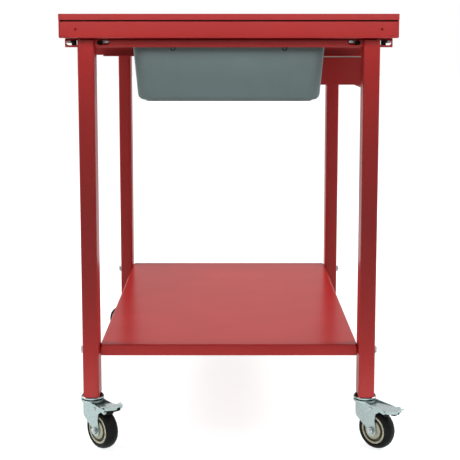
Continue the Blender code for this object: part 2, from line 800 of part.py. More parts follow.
def make_drawer_rails():
    """The two rails across the underside that carry the drawer slides."""
    top = RAIL_TOP - HALF_SHEET
    bottom = DRAWER_RAIL_BOTTOM + HALF_SHEET
    web = DRAWER_WEB_NEAR + HALF_SHEET
    near_points = [
        (web - DRAWER_RAIL_FOOT, bottom),
        (web, bottom),
        (web, top),
        (web - DRAWER_RAIL_FLANGE, top),
    ]
    near = folded(
        "drawer_rail_near", near_points, -INNER_SIDE, INNER_SIDE, "X", RED_PAINT, bend=DRAWER_RAIL_BEND
    )
    foot_end = DRAWER_RAIL_FOOT_SETBACK - SIDE
    low = (-SIDE, DRAWER_WEB_NEAR - DRAWER_RAIL_FOOT * 2, bottom - SHEET)
    high = (foot_end, DRAWER_WEB_NEAR + 2 * SHEET, bottom + DRAWER_RAIL_BEND)
    cut(near, "drawer_rail_foot_cut", box(low, high))
    web = DRAWER_WEB_FAR - HALF_SHEET
    far_points = [
        (web, DRAWER_RAIL_BOTTOM),
        (web, top),
        (web - DRAWER_RAIL_FLANGE, top),
    ]
    folded("drawer_rail_far", far_points, -INNER_SIDE, INNER_SIDE, "X", RED_PAINT)


def make_tub_runner():
    """The angle on the near drawer rail that carries the far rim of the tub."""
    back = RUNNER_BACK - HALF_SHEET
    ledge = LEDGE_TOP - HALF_SHEET
    points = [
        (TUB_FAR + TUB_CLEARANCE, ledge),
        (back, ledge),
        (back, ledge - RUNNER_LEG),
    ]
    reach = RETURN_EDGE - SEAT
    folded("tub_runner", points, -reach, reach, "X", RED_PAINT)


def make_slides():
    """Two pairs of drawer slides: channels on the rails, and channels on the drawer inside them."""
    room = SLIDE_SHEET + SLIDE_RUN
    for where, wall, box_side, sign in (
        ("near", BAY_NEAR, BOX_NEAR, 1),
        ("far", BAY_FAR, BOX_FAR, -1),
    ):
        rail_face = wall + sign * SEAT
        box_face = box_side - sign * SEAT
        make_channel("slide_outer_" + where, rail_face, box_face - sign * room, 0, SLIDE_STEEL)
        make_channel("slide_inner_" + where, box_face, rail_face + sign * room, room, SLIDE_STEEL)


def make_channel(name, back, lip, inset, material):
    """A slide channel with its back on one face, open towards the other."""
    half = SLIDE_SHEET / 2
    middle = back + math.copysign(half, lip - back)
    low = SLIDE_BOTTOM + inset + half
    high = SLIDE_BOTTOM + SLIDE_HEIGHT - inset - half
    points = [(lip, low), (middle, low), (middle, high), (lip, high)]
    folded(name, points, SLIDE_REAR, SLIDE_FRONT, "X", material, SLIDE_SHEET, SLIDE_SHEET)


def make_drawer_box():
    """The folded drawer box, open at the top with hemmed edges."""
    half = DRAWER_SHEET / 2
    low = (BOX_REAR + half, BOX_NEAR + half, BOX_BOTTOM + half)
    high = (BOX_FRONT - half, BOX_FAR - half, BOX_BOTTOM + DRAWER_HEIGHT - half)
    bm = box(low, high)
    lid = [f for f in bm.faces if f.normal.z > 0.5]
    bmesh.ops.inset_individual(bm, faces=lid, thickness=DRAWER_HEM, use_even_offset=True)
    bmesh.ops.delete(bm, geom=lid, context="FACES_ONLY")
    drawer = add_object("drawer_box", mesh_from(bm, "drawer_box"), RED_PAINT)
    solidify(drawer, DRAWER_SHEET)


def make_drawer_front():
    """The drawer front: a shallow folded pan whose skirt below the box is the finger pull."""
    half = HALF_SHEET
    low = (SIDE - FRONT_RETURN, BAY_NEAR + FRONT_CLEARANCE + half, FRONT_BOTTOM)
    high = (SIDE - half, BAY_FAR - FRONT_CLEARANCE - half, FRONT_TOP - half)
    bm = box(low, high)
    open_sides = [f for f in bm.faces if f.normal.x < -0.5 or f.normal.z < -0.5]
    bmesh.ops.delete(bm, geom=open_sides, context="FACES_ONLY")
    bend_folds(bm, BEND)
    front = add_object("drawer_front", mesh_from(bm, "drawer_front"), RED_PAINT)
    solidify(front, SHEET)


# Drain tub

def make_tub():
    """The moulded drain tub: tapered walls, round corners, and a rim that hangs on the rails."""
    half = TUB_WALL / 2
    low = (-TUB_WIDTH / 2 + half, TUB_NEAR + half, TUB_BOTTOM + TUB_FOOT_HEIGHT + half)
    high = (TUB_WIDTH / 2 - half, TUB_FAR - half, TUB_TOP - half)
    waist = TUB_TOP - TUB_DEPTH / 2
    bm = box(low, high)
    for vert in bm.verts:
        if vert.co.z < waist:
            vert.co.x -= math.copysign(TUB_TAPER, vert.co.x)
            vert.co.y -= math.copysign(TUB_TAPER, vert.co.y - DRAIN_Y)
    corners = [e for e in bm.edges if abs(e.verts[0].co.z - e.verts[1].co.z) > TUB_DEPTH / 2]
    bmesh.ops.bevel(bm, geom=corners, offset=TUB_CORNER, segments=FLAT_STEPS, profile=0.5, affect="EDGES")
    base = [e for e in bm.edges if all(v.co.z < waist for v in e.verts)]
    bmesh.ops.bevel(bm, geom=base, offset=TUB_FLOOR_CORNER, segments=FLAT_STEPS, profile=0.5, affect="EDGES")
    bm.normal_update()
    foot = [f for f in bm.faces if f.normal.z < -0.99]
    bmesh.ops.inset_individual(bm, faces=foot, thickness=TUB_FOOT_INSET, use_even_offset=True)
    bmesh.ops.inset_individual(bm, faces=foot, thickness=TUB_FOOT_HEIGHT, depth=TUB_FOOT_HEIGHT)
    lid = [f for f in bm.faces if f.normal.z > 0.9 and f.calc_center_median().z > waist]
    bmesh.ops.delete(bm, geom=lid, context="FACES_ONLY")
    edge = [e for e in bm.edges if e.is_boundary]
    rim = grown_rim(bm, edge, TUB_RIM - half, 0)
    grown_rim(bm, rim, 0, half - TUB_RIM_LIP)
    bmesh.ops.recalc_face_normals(bm, faces=bm.faces)
    mesh = mesh_from(bm, "drain_tub")
    round_shading(mesh, 50)
    tub = add_object("drain_tub", mesh, GREY_PLASTIC)
    solidify(tub, TUB_WALL)


def grown_rim(bm, edges, out, up):
    """Pulls the open edge of the tub outwards, square to its sides, and up."""
    grown = bmesh.ops.extrude_edge_only(bm, edges=edges)["geom"]
    verts = [item for item in grown if isinstance(item, bmesh.types.BMVert)]
    flat_x = TUB_WIDTH / 2 - TUB_CORNER - TUB_WALL
    flat_y = (TUB_FAR - TUB_NEAR) / 2 - TUB_CORNER - TUB_WALL
    for vert in verts:
        over_x = max(abs(vert.co.x) - flat_x, 0)
        over_y = max(abs(vert.co.y - DRAIN_Y) - flat_y, 0)
        away = Vector((math.copysign(over_x, vert.co.x), math.copysign(over_y, vert.co.y - DRAIN_Y), 0))
        vert.co += away.normalized() * out + Vector((0, 0, up))
    fresh = set(verts)
    return [e for e in grown if isinstance(e, bmesh.types.BMEdge) and set(e.verts) <= fresh]


# Casters

def make_caster(where, place):
    """One swivel caster; its empties stand on the swivel, axle and pedal axes."""
    swivel = bpy.data.objects.new("swivel_" + where, None)
    PARTS.objects.link(swivel)
    swivel.location = (place["x"] * LEG_X, place["y"] * LEG_Y, 0)
    swivel.rotation_euler = (0, 0, math.radians(place["yaw"]))
    wheel = bpy.data.objects.new("wheel_" + where, None)
    PARTS.objects.link(wheel)
    wheel.parent = swivel
    wheel.location = (CASTER_TRAIL, 0, WHEEL_RADIUS)
    make_race(where, swivel)
    make_fork(where, swivel, place["brake"])
    make_axle(where, wheel)
    make_wheel(where, wheel)
    if place["brake"]:
        pedal = bpy.data.objects.new("pedal_" + where, None)
        PARTS.objects.link(pedal)
        pedal.parent = swivel
        pedal.location = (PEDAL_PIVOT_X, 0, PEDAL_PIVOT_Z)
        pedal.rotation_euler = (0, 0 if place["pressed"] else -PEDAL_THROW, 0)
        make_pedal(where, pedal, swivel)


def make_race(where, swivel):
    """The fixed upper race with its threaded stem, and the sealed ball ring under it."""
    stem = STEM_DIAMETER / 2
    race = RACE_DIAMETER / 2
    chamfer = SHEET / 2
    profile = [
        (0, RACE_TOP + STEM_LENGTH),
        (stem - chamfer, RACE_TOP + STEM_LENGTH),
        (stem, RACE_TOP + STEM_LENGTH - chamfer),
        (stem, RACE_TOP),
        (race - chamfer, RACE_TOP),
        (race, RACE_TOP - chamfer),
        (race, RACE_BOTTOM),
        (0, RACE_BOTTOM),
    ]
    turned("caster_race_" + where, profile, ROUND_STEPS, ZINC, False, swivel)
    ring = race - SHEET
    top = RACE_BOTTOM - SEAT
    profile = [(0, top), (ring, top), (ring, BEARING_BOTTOM), (0, BEARING_BOTTOM)]
    turned("caster_bearing_" + where, profile, ROUND_STEPS, BLACK_PLASTIC, False, swivel)


def fork_outline(brake):
    """Side view of a fork: it narrows to the axle, and a brake adds an arm over the wheel."""
    tip = FORK_TIP_RADIUS
    back = -FORK_REAR - FORK_SHEET
    front = CASTER_TRAIL + tip
    above = FORK_TOP + SHEET
    crown_edge = RACE_DIAMETER / 2 - FORK_SHEET
    outline = [
        (back, above),
        (back, FORK_TOP - FORK_NECK),
        (back + FORK_SLOPE * 2 / 3, FORK_TOP - FORK_NECK - FORK_SLOPE),
        (CASTER_TRAIL - 2 * tip, WHEEL_RADIUS + tip - SHEET / 2),
    ]
    outline += arc((CASTER_TRAIL, WHEEL_RADIUS), tip, 165, 375, 9)
    if brake:
        outline += [
            (front - SHEET, WHEEL_RADIUS + tip),
            (CASTER_TRAIL + FORK_THROAT, WHEEL_RADIUS + 2 * tip),
            (CASTER_TRAIL + FORK_THROAT + SHEET, FORK_ELBOW),
            (ARM_REACH - 2 * ARM_BOSS, ARM_Z - ARM_BOSS / 2),
        ]
        outline += arc((ARM_REACH, ARM_Z), ARM_BOSS, 240, 415, 6)
    else:
        outline += [(front, WHEEL_RADIUS + tip), (FORK_REAR + tip, FORK_TOP - tip)]
    return outline + [(crown_edge, FORK_TOP - SHEET / 4), (crown_edge, above)]


def make_fork(where, swivel, brake):
    """The pressed fork: cheeks round a closed back under a round crown, with holes for its pins."""
    name = "caster_fork_" + where
    reach = ARM_REACH + 2 * ARM_BOSS
    plan = [(reach, -PLATE_SIDE), (-FORK_REAR, -PLATE_SIDE), (-FORK_REAR, PLATE_SIDE), (reach, PLATE_SIDE)]
    fork = folded(name, plan, SEAT, FORK_TOP, "Z", ZINC, FORK_SHEET, FORK_CORNER)
    fork.parent = swivel
    side = upright(flat_solid("fork_side", [fork_outline(brake)], 2 * FORK_INSIDE))
    boolean(fork, add_cutter(name + "_side", side, swivel), "INTERSECT")
    crown = rod(RACE_DIAMETER / 2, (0, 0, CROWN_TOP - CROWN_THICKNESS), (0, 0, CROWN_TOP), ROUND_STEPS)
    boolean(fork, add_cutter(name + "_crown", mesh_from(crown, name + "_crown"), swivel), "UNION")
    holes = [cross_hole(AXLE_DIAMETER, CASTER_TRAIL, WHEEL_RADIUS)]
    if brake:
        for sign in (-1, 1):
            start = (ARM_REACH, sign * PLATE_SIDE, ARM_Z)
            end = (ARM_REACH, sign * (PLATE_SIDE + FORK_SHEET), ARM_Z)
            rivet = mesh_from(rod(ARM_RIVET, start, end, HOLE_STEPS), name + "_rivet")
            boolean(fork, add_cutter(name + "_rivet", rivet, swivel), "UNION")
        holes.append(cross_hole(PIN_DIAMETER, PEDAL_PIVOT_X, PEDAL_PIVOT_Z))
    cut(fork, name + "_holes", *holes, parent=swivel)


def cross_hole(diameter, x, z):
    """A cutter through both cheeks of a caster for a pin of a diameter."""
    return rod(diameter / 2 + SEAT, (x, -FORK_INSIDE, z), (x, FORK_INSIDE, z))


def make_axle(where, wheel):
    """The axle bolt with its head and nut outside the fork."""
    outside = FORK_INSIDE / 2 + FORK_SHEET + SEAT
    name = "caster_axle_" + where
    end = outside + AXLE_HEAD
    shank = mesh_from(rod(AXLE_DIAMETER / 2, (0, -end - SHEET / 2, 0), (0, end + SHEET / 2, 0)), name)
    axle = add_object(name, shank, BRIGHT_STEEL, wheel)
    for sign in (-1, 1):
        head = upright(flat_solid("axle_head", [hexagon(AXLE_FLATS)], AXLE_HEAD))
        head.transform(Matrix.Translation((0, sign * (outside + AXLE_HEAD / 2), 0)))
        boolean(axle, add_cutter(name + "_head", head, wheel), "UNION")


def make_wheel(where, wheel):
    """The moulded wheel core with its ring groove, and the tyre round it."""
    half = WHEEL_WIDTH / 2
    boss = HUB_BOSS / 2
    groove = boss + HUB_GROOVE
    deep = half - HUB_GROOVE_DEPTH
    rim = half - HUB_RIM_DROP
    side = [
        (AXLE_DIAMETER / 2 + SEAT, half + HUB_CROWN),
        (boss - HUB_EDGE, half),
        (boss, half - HUB_EDGE),
        (boss, deep),
        (groove, deep),
        (groove + HUB_EDGE, rim),
        (HUB_RADIUS, rim),
    ]
    profile = side + [(r, -h) for r, h in reversed(side)]
    turned("wheel_hub_" + where, profile, HUB_STEPS, TAN_PLASTIC, True, wheel, True)
    seat = HUB_RADIUS + SEAT
    side = [(seat, rim)]
    for angle in (90, 58, 32):
        turn = math.radians(angle)
        side.append((WHEEL_RADIUS - TYRE_CROWN * (1 - math.cos(turn)), half * math.sin(turn)))
    side.append((WHEEL_RADIUS, TREAD_FLAT / 2))
    profile = side + [(r, -h) for r, h in reversed(side)]
    turned("wheel_tyre_" + where, profile, WHEEL_STEPS, BLACK_RUBBER, True, wheel, True)


def make_pedal(where, pedal, swivel):
    """The brake pedal as it lies when pressed, seen from its pivot, with its pin and shoe."""
    name = "brake_pedal_" + where
    middle = PEDAL_RISE - PEDAL_SHEET / 2
    inside = FORK_INSIDE / 2 - 2 * SEAT
    neck = ARM_REACH + ARM_BOSS + 2 * SEAT - PEDAL_PIVOT_X
    toe = PEDAL_TOE - PEDAL_PIVOT_X
    tongue = PEDAL_TONGUE - PEDAL_PIVOT_X
    tip = PEDAL_TIP - PEDAL_PIVOT_X
    half = [
        (-PEDAL_LUG - SEAT, inside),
        (neck, inside),
        (toe, PEDAL_TOE_WIDTH / 2),
        (toe + PEDAL_TOE_LENGTH, PEDAL_TOE_WIDTH / 2),
        (tongue, PEDAL_TONGUE_WIDTH / 2),
        (tip, PEDAL_TIP_WIDTH / 2),
    ]
    outline = [(x, -y) for x, y in half] + half[::-1]
    bm = bmesh.new()
    bm.faces.new([bm.verts.new((x, y, middle)) for x, y in outline])
    split_at(bm, 0, (neck, toe, toe + PEDAL_TOE_LENGTH, tongue))
    for vert in bm.verts:
        vert.co.z += PEDAL_CURL * max(vert.co.x - tongue, 0) / (tip - tongue)
    sides = [e for e in bm.edges if e.is_boundary]
    skirts = [e for e in sides if all(toe - SEAT < v.co.x < tongue + SEAT for v in e.verts)]
    extruded_edges(bm, skirts, (0, 0, -PEDAL_SKIRT))
    bmesh.ops.recalc_face_normals(bm, faces=bm.faces)
    plate = add_object(name, mesh_from(bm, name), ZINC, pedal)
    solidify(plate, PEDAL_SHEET)
    loop = arc((0, 0), PEDAL_LUG, 180, 360, 6) + [(PEDAL_LUG, middle), (-PEDAL_LUG, middle)]
    for sign in (-1, 1):
        cheek = upright(flat_solid("lug", [loop], PEDAL_SHEET))
        cheek.transform(Matrix.Translation((0, sign * (inside - PEDAL_SHEET / 2 - SEAT), 0)))
        boolean(plate, add_cutter(name + "_lug", cheek, pedal), "UNION")
    across = PEDAL_TIP_WIDTH / 2 + SEAT
    height = middle + PEDAL_CURL
    roll = rod(PEDAL_ROLL, (tip, -across, height), (tip, across, height), HOLE_STEPS)
    boolean(plate, add_cutter(name + "_roll", mesh_from(roll, name + "_roll"), pedal), "UNION")
    cut(plate, name + "_pin_hole", cross_hole(PIN_DIAMETER, 0, 0), parent=pedal)
    make_pin(where, swivel)
    make_shoe(where, pedal)


def make_pin(where, swivel):
    """The riveted pin that the pedal turns on."""
    name = "pedal_pin_" + where
    outside = FORK_INSIDE / 2 + FORK_SHEET + SEAT
    radius = PIN_DIAMETER / 2
    head = PIN_HEAD_DIAMETER / 2
    side = [
        (0, outside + PIN_HEAD),
        (head - PIN_HEAD / 2, outside + PIN_HEAD),
        (head, outside),
        (radius, outside),
    ]
    profile = side + [(r, -h) for r, h in reversed(side)]
    pin = turned(name, profile, HOLE_STEPS, BRIGHT_STEEL, False, swivel, True)
    pin.location = (PEDAL_PIVOT_X, 0, PEDAL_PIVOT_Z)


def make_shoe(where, pedal):
    """The rubber brake shoe and its stop; the sole meets the tyre when the pedal is down."""
    name = "brake_shoe_" + where
    top = PEDAL_RISE - PEDAL_SHEET - SEAT
    bottom = WHEEL_RADIUS - PEDAL_PIVOT_Z
    start = SHOE_START - PEDAL_PIVOT_X
    stop = STOP_START - PEDAL_PIVOT_X
    profile = [
        (start, bottom),
        (start + SHOE_LENGTH, bottom),
        (start + SHOE_LENGTH, top - SHOE_WEB),
        (stop, top - SHOE_WEB),
        (stop + SHEET / 2, top - STOP_DEPTH),
        (stop + STOP_LENGTH, top - STOP_DEPTH + SHEET / 2),
        (stop + STOP_LENGTH, top),
        (start, top),
    ]
    shoe = add_object(name, upright(flat_solid(name, [profile], SHOE_WIDTH)), BLACK_RUBBER, pedal)
    axle = Vector((CASTER_TRAIL - PEDAL_PIVOT_X, 0, WHEEL_RADIUS - PEDAL_PIVOT_Z))
    across = Vector((0, SHOE_WIDTH, 0))
    wheel_room = rod(WHEEL_RADIUS + SHOE_GAP, axle - across, axle + across, 2 * WHEEL_STEPS)
    cut(shoe, name + "_wheel_room", wheel_room, parent=pedal)


# Assembly

make_worktop()
make_drain_spout()
make_end_apron("end_apron_near", -1)
make_end_apron("end_apron_far", 1)
make_leg_rail("leg_rail_near", -1, NEAR_LEDGE)
make_leg_rail("leg_rail_far", 1, FAR_LEDGE)
make_stiffener("top_stiffener_near", -1)
make_stiffener("top_stiffener_far", 1)
for leg_name, place in CASTERS.items():
    make_leg("leg_" + leg_name, place["x"], place["y"])
    make_leg_plug("leg_plug_" + leg_name, place["x"], place["y"])
make_shelf()
make_drawer_rails()
make_tub_runner()
make_slides()
make_drawer_box()
make_drawer_front()
make_tub()
for caster_name, place in CASTERS.items():
    make_caster(caster_name, place)
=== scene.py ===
"""Looks of the teardown table: finishes, fasteners, floor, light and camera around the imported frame."""
import json
import math

import bmesh
import bpy
from mathutils import Matrix, Vector


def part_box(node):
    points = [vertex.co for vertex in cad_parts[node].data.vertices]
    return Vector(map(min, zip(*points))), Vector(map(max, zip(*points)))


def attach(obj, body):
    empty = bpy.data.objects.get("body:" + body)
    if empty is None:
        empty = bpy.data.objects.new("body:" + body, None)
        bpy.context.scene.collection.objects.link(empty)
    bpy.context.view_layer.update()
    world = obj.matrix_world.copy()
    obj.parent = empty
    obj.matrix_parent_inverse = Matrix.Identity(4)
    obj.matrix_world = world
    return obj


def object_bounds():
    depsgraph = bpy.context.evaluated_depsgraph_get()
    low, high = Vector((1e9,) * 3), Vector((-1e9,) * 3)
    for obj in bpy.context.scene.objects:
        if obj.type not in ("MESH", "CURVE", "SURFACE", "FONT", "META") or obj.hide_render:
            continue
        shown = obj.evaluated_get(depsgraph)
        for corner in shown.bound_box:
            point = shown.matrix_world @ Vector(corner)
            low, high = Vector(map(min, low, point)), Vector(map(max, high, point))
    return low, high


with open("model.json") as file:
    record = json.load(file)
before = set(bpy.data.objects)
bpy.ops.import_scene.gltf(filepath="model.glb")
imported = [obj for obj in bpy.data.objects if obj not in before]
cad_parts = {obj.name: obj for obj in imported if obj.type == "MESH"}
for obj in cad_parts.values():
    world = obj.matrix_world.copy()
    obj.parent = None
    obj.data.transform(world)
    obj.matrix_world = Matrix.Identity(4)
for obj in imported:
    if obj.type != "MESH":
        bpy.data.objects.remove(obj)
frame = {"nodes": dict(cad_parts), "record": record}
CAD_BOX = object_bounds()
NODES = frame["nodes"]

# Finishes, as sRGB colours from 0 to 255
RED = (183, 46, 44)
RED_DEEP = (176, 42, 40)
TUB_GREY = (126, 144, 144)
TUB_SHADE = (120, 137, 137)
ZINC_LIGHT = (174, 187, 186)
ZINC_DARK = (158, 172, 171)
SLIDE_LIGHT = (152, 146, 138)
SLIDE_DARK = (128, 122, 114)
STEEL_LIGHT = (200, 204, 204)
STEEL_DARK = (158, 163, 164)
RUBBER = (13, 14, 13)
RUBBER_GREY = (20, 21, 20)
BLACK = (10, 10, 10)
BLACK_GREY = (18, 18, 18)
TAN = (186, 181, 158)
TAN_SHADE = (168, 163, 141)
# Painted shade in the wheel cores' grooves
GROOVE_PAINTED_SHADE = (92, 89, 82)
WHITE = (255, 255, 255)

# How strongly the plastics and the rubber reflect, 0.5 being plain plastic, and the paint's clear skin
PLASTIC_SHINE = 0.06
RUBBER_SHINE = 0.08
PAINT_COAT = 0.43
PAINT_COAT_ROUGHNESS = 0.24

# The reach, in metres, within which painted shade darkens a wheel core's grooves
GROOVE_SHADE_REACH = 0.008

# The span in which most values of a noise lie
NOISE_LOW = 0.3
NOISE_HIGH = 0.7

# The colour sockets of a Mix node, which share their names with sockets of its other types
MIX_FACTOR = 0
MIX_FIRST = 6
MIX_SECOND = 7
MIX_RESULT = 2

# Edge rounding of sheet metal, of moulded pieces and of small ones, in metres
SHEET_EDGE = 0.0006
MOULDED_EDGE = 0.0008
SMALL_EDGE = 0.0003
MOULDED_SLOTS = ("grey_plastic", "black_rubber", "tan_plastic")

# How rounded edges are made, and the angle between faces that still shades smooth
EDGE_SEGMENTS = 2
EDGE_PROFILE = 0.5
SMOOTH_ANGLE = math.radians(38)

# Corners this close are one, and an edge is level if its ends differ less in height, in metres
WELD = 0.00002
LEVEL = 0.00001

# The two ends and the two sides of the table, with their directions along Y and X
ENDS = (("near", -1), ("far", 1))
HANDS = (("left", -1), ("right", 1))

# Frame fasteners, in metres
BOLT = 0.008
HEAD_FLATS = 0.013
HEAD_RADIUS = HEAD_FLATS / math.sqrt(3)
HEAD_HEIGHT = 0.0053
HEAD_CHAMFER = 0.0008
NUT_HEIGHT = 0.0065
WASHER_RADIUS = 0.0085
WASHER_THICKNESS = 0.0016
WASHER_CHAMFER = HEAD_CHAMFER / 3
THREAD_PITCH = 0.00125
THREAD_DEPTH = THREAD_PITCH / 3
THREAD_POINT = THREAD_PITCH / 2
THREAD_SHOWN = 3 * THREAD_PITCH

# Facets around the fasteners
HEX_SIDES = 6
ROUND_STEPS = 32
THREAD_STEPS = 20

# Where the bolts sit, in metres: the sheet that they clamp, and their places on the rails and the shelf
SHEET = 0.0025
RAIL_BOLT_INSET = 0.022
RAIL_BOLT_OFFSET = 0.038
RETURN_HALF = 0.0075
SHELF_BOLT_INSET = 0.012
SHELF_BOLT_DROP = 0.013

# Black blocks beside the rail bolts and black strips under the end lips, both painted shade, with the gap
# that they keep, in metres
FIT = 0.0003
BLOCK_ROUND = 0.0008
SLOT_SHADE_GAP = 0.004
SLOT_SHADE_DEPTH = 0.012
GAP_SHADE_HEIGHT = 0.0024
GAP_SHADE_DEPTH = 0.006
GAP_SHADE_SETBACK = 0.003

# Eyelets on the tub's end walls, in metres: how far the walls stand in from the rim and lean, and the rings
TUB_RIM = 0.0137
TUB_TAPER = 0.0095
EYELET_X = 0.111
EYELET_DROP = 0.0142
EYELET_RADIUS = 0.005
EYELET_BORE = 0.0032
EYELET_PROUD = 0.0009

# Camera: picture width, focal length and the column of its axis in pixels, and the sensor in millimetres
IMAGE = 460
FOCAL = 1108
PRINCIPAL_COLUMN = 228.8
SENSOR = 36

# Where the camera stands, in metres, how far it leans down, and its lens shift as a share of the picture
CAMERA_PLACE = (0.0, -2.5716, 0.8257)
CAMERA_LEAN = math.radians(7.43)
CAMERA_SHIFT = -0.11

# Floor, in metres, a little cool in tone, with a glow to the eye that grows from the middle outwards
FLOOR_SIZE = 40.0
FLOOR_STEPS = 96
FLOOR_DROP = 0.0002
FLOOR_TONE = (0.5, 0.6, 0.6)
FLOOR_ROUGHNESS = 0.9
GLOW_NEAR = 0.77
GLOW_FAR = 1.0
GLOW_REACH = 4.0

# Light from all around, and the lamps as place, target, size (all in metres) and power in watts
AMBIENT = 0.10
LAMPS = {
    "front_high": ((0, -0.74, 0.88), (0, -0.42, 0.94), (1.7, 0.08), 2.3),
    "front_low": ((0, -0.63, 0.06), (0, -0.42, 0.07), (1.7, 0.06), 1.5),
    "top_soft": ((0, 0.1, 3.0), (0, 0, 0.4), (2.5, 2.5), 10),
    "left_soft": ((-2.6, 0.3, 2.6), (0, 0, 0.3), (1.6, 1.6), 72),
    "right_soft": ((2.6, 0.3, 2.6), (0, 0, 0.3), (1.6, 1.6), 72),
    "rear_left": ((-2.0, 2.4, 0.9), (0, 0, 0.5), (1.2, 1.2), 20),
    "rear_right": ((2.0, 2.4, 0.9), (0, 0, 0.5), (1.2, 1.2), 20),
}

# Lamps that light the object but don't show in its reflections
FILL_LAMPS = ("front_high", "front_low", "rear_left", "rear_right")


def linear(channel):
    """One channel from 0 to 255 as a linear value, by the curve of the sRGB standard."""
    value = channel / 255
    if value <= 0.04045:
        return value / 12.92
    return ((value + 0.055) / 1.055) ** 2.4


def colour(rgb):
    """An sRGB colour as a linear RGBA value."""
    return (*[linear(c) for c in rgb], 1.0)


# Materials

class Finish:
    """A Principled material with helpers that add procedural detail in metres."""

    def __init__(self, name, metallic=0.0, shine=0.5):
        self.material = bpy.data.materials.new(name)
        self.material.use_nodes = True
        self.tree = self.material.node_tree
        self.shader = self.tree.nodes["Principled BSDF"]
        self.shader.inputs["Metallic"].default_value = metallic
        self.shader.inputs["Specular IOR Level"].default_value = shine
        self.place = self.tree.nodes.new("ShaderNodeTexCoord").outputs["Object"]

    def noise(self, scale, detail, stretch=None):
        """A noise value, with its scale in features per metre, drawn out along an axis if asked."""
        node = self.tree.nodes.new("ShaderNodeTexNoise")
        node.inputs["Scale"].default_value = scale
        node.inputs["Detail"].default_value = detail
        source = self.place
        if stretch:
            mapping = self.tree.nodes.new("ShaderNodeMapping")
            mapping.inputs["Scale"].default_value = stretch
            self.tree.links.new(self.place, mapping.inputs["Vector"])
            source = mapping.outputs["Vector"]
        self.tree.links.new(source, node.inputs["Vector"])
        return node.outputs["Fac"]

    def cells(self, scale):
        """A random value for each grain of a crystalline surface."""
        node = self.tree.nodes.new("ShaderNodeTexVoronoi")
        node.inputs["Scale"].default_value = scale
        self.tree.links.new(self.place, node.inputs["Vector"])
        grey = self.tree.nodes.new("ShaderNodeRGBToBW")
        self.tree.links.new(node.outputs["Color"], grey.inputs["Color"])
        return grey.outputs["Val"]

    def ranged(self, value, low, high, start=NOISE_LOW, end=NOISE_HIGH):
        """A value mapped to a range."""
        node = self.tree.nodes.new("ShaderNodeMapRange")
        node.inputs["From Min"].default_value = start
        node.inputs["From Max"].default_value = end
        node.inputs["To Min"].default_value = low
        node.inputs["To Max"].default_value = high
        self.tree.links.new(value, node.inputs["Value"])
        return node.outputs["Result"]

    def tint(self, value, dark, light, start=NOISE_LOW, end=NOISE_HIGH):
        """Base colour that drifts between two tones."""
        ramp = self.tree.nodes.new("ShaderNodeValToRGB")
        ramp.color_ramp.elements[0].position = start
        ramp.color_ramp.elements[0].color = colour(dark)
        ramp.color_ramp.elements[1].position = end
        ramp.color_ramp.elements[1].color = colour(light)
        self.tree.links.new(value, ramp.inputs["Fac"])
        self.tree.links.new(ramp.outputs["Color"], self.shader.inputs["Base Color"])

    def roughness(self, value, low, high):
        """Roughness that drifts within a range."""
        self.tree.links.new(self.ranged(value, low, high), self.shader.inputs["Roughness"])

    def coat(self, weight, roughness):
        """A clear skin over the colour."""
        self.shader.inputs["Coat Weight"].default_value = weight
        self.shader.inputs["Coat Roughness"].default_value = roughness

    def shade_mask(self, reach):
        """How open the surface is to the air within a reach, low in grooves: the mask for painted shade."""
        node = self.tree.nodes.new("ShaderNodeAmbientOcclusion")
        node.only_local = True
        node.inputs["Distance"].default_value = reach
        return node.outputs["AO"]

    def paint_shade(self, value, dark, start, end):
        """Painted shade: base colour that falls to a darker tone where a value is low."""
        socket = self.shader.inputs["Base Color"]
        mix = self.tree.nodes.new("ShaderNodeMix")
        mix.data_type = "RGBA"
        mix.inputs[MIX_FIRST].default_value = colour(dark)
        self.tree.links.new(self.ranged(value, 0.0, 1.0, start, end), mix.inputs[MIX_FACTOR])
        self.tree.links.new(socket.links[0].from_socket, mix.inputs[MIX_SECOND])
        self.tree.links.new(mix.outputs[MIX_RESULT], socket)

    def bump(self, value, height, strength):
        """Fine relief of a height in metres."""
        node = self.tree.nodes.new("ShaderNodeBump")
        node.inputs["Distance"].default_value = height
        node.inputs["Strength"].default_value = strength
        self.tree.links.new(value, node.inputs["Height"])
        self.tree.links.new(node.outputs["Normal"], self.shader.inputs["Normal"])


def powder_coat():
    """Satin red powder coat with a fine orange-peel skin."""
    finish = Finish("red_powder_coat", shine=0.0)
    finish.coat(PAINT_COAT, PAINT_COAT_ROUGHNESS)
    finish.tint(finish.noise(scale=9.0, detail=4.0), RED_DEEP, RED)
    finish.roughness(finish.noise(scale=60.0, detail=3.0), low=0.46, high=0.54)
    finish.bump(finish.noise(scale=1100.0, detail=2.0), height=0.00004, strength=0.5)
    return finish.material


def tub_plastic():
    """Moulded grey plastic with a faint mottle and a fine grain."""
    finish = Finish("grey_plastic", shine=PLASTIC_SHINE)
    finish.tint(finish.noise(scale=14.0, detail=5.0), TUB_SHADE, TUB_GREY)
    finish.roughness(finish.noise(scale=90.0, detail=3.0), low=0.36, high=0.48)
    finish.bump(finish.noise(scale=1600.0, detail=3.0), height=0.00003, strength=0.5)
    return finish.material


def zinc_plate():
    """Zinc plate with small spangles and uneven gloss."""
    finish = Finish("zinc_plate", metallic=1.0)
    finish.tint(finish.cells(scale=420.0), ZINC_DARK, ZINC_LIGHT, start=0.1, end=0.9)
    finish.roughness(finish.noise(scale=160.0, detail=4.0), low=0.26, high=0.34)
    finish.bump(finish.noise(scale=900.0, detail=3.0), height=0.00002, strength=0.3)
    return finish.material


def slide_steel():
    """Dull rolled steel of the drawer slides, with lines along the roll."""
    finish = Finish("slide_steel", metallic=1.0)
    mottle = finish.noise(scale=160.0, detail=4.0, stretch=(0.08, 1.0, 1.0))
    lines = finish.noise(scale=800.0, detail=2.0, stretch=(0.05, 1.0, 1.0))
    finish.tint(mottle, SLIDE_DARK, SLIDE_LIGHT)
    finish.roughness(finish.noise(scale=220.0, detail=3.0), low=0.34, high=0.48)
    finish.bump(lines, height=0.00002, strength=0.4)
    return finish.material


